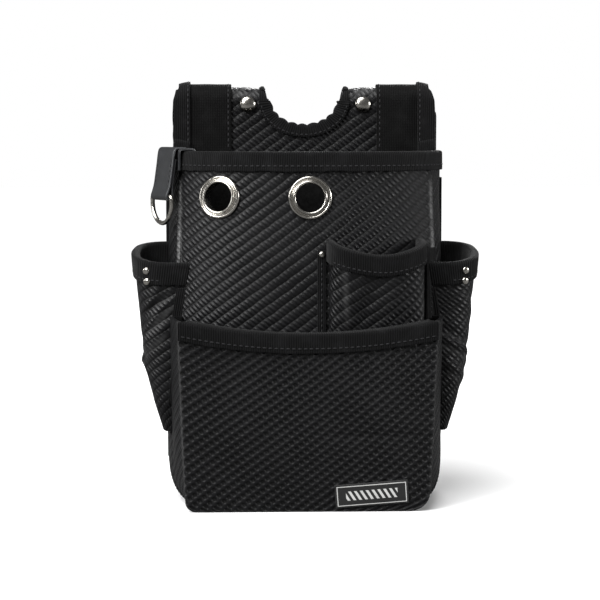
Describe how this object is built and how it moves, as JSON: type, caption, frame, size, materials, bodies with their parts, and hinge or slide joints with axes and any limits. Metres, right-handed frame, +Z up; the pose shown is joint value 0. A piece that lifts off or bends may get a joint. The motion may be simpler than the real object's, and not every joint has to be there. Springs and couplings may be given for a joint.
{
  "type": "tool pouch",
  "caption": "Two-stage electrician's belt pouch in embossed black leather, with belt loops, side pockets, a small front pocket, eyelets and a hanging D-ring.",
  "frame": {"origin": "under the middle of the whole pouch, on the surface that it stands on", "axes": "+Z up, -Y the front with the eyelets and the lower pouch, +X to the viewer's right of the front"},
  "size_m": [0.2492, 0.1231, 0.3],
  "materials": {
    "twill_leather": "embossed diagonal twill, semi-gloss",
    "lattice_leather": "embossed fine lattice, semi-gloss",
    "binding_tape": "ribbed woven tape, matt",
    "webbing": "woven belt webbing, matt",
    "board": "matt sheet",
    "nickel": "polished nickel plate",
    "strap_leather": "plain grained, semi-gloss",
    "label_cloth": "woven patch"
  },
  "bodies": {
    "pouch": {"back_panel": "twill_leather", "left_belt_loop": "twill_leather", "right_belt_loop": "twill_leather", "front_panel": "twill_leather", "left_gusset": "twill_leather", "right_gusset": "twill_leather", "bottom_panel": "twill_leather", "lower_left_gusset": "twill_leather", "lower_right_gusset": "twill_leather", "lower_floor_strip": "twill_leather", "small_pocket": "twill_leather", "left_side_pocket": "twill_leather", "right_side_pocket": "twill_leather", "lower_front_panel": "lattice_leather", "left_back_binding": "binding_tape", "right_back_binding": "binding_tape", "left_loop_edge_tape": "binding_tape", "right_loop_edge_tape": "binding_tape", "left_inner_edge_tape": "binding_tape", "right_inner_edge_tape": "binding_tape", "notch_binding": "binding_tape", "rim_end_tabs": "binding_tape", "main_rim_binding": "binding_tape", "lower_rim_binding": "binding_tape", "small_pocket_binding": "binding_tape", "small_pocket_tabs": "binding_tape", "left_side_pocket_binding": "binding_tape", "right_side_pocket_binding": "binding_tape", "left_side_seam_tape": "binding_tape", "right_side_seam_tape": "binding_tape", "left_loop_webbing": "webbing", "right_loop_webbing": "webbing", "back_board": "board", "bottom_board": "board", "dome_rivets": "nickel", "dome_rivet_backs": "nickel", "eyelets": "nickel", "eyelet_washers": "nickel", "small_pocket_rivet": "nickel", "side_pocket_rivets": "nickel", "ring_strap_anchor": "strap_leather", "label": "label_cloth"},
    "strap": {"ring_strap": "strap_leather"},
    "ring": {"d_ring": "nickel"}
  },
  "joints": [
    {"name": "strap_flex", "type": "hinge", "parent": "pouch", "child": "strap", "pos_m": [-0.0976, 0.00504, 0.2506], "axis": [-0.5, 0.866, 0], "range_deg": [-4, 110]},
    {"name": "ring_swing", "type": "hinge", "parent": "strap", "child": "ring", "pos_m": [-0.10207, 0.00246, 0.21801], "axis": [-0.5, 0.866, 0], "range_deg": [-8, 110]}
  ]
}
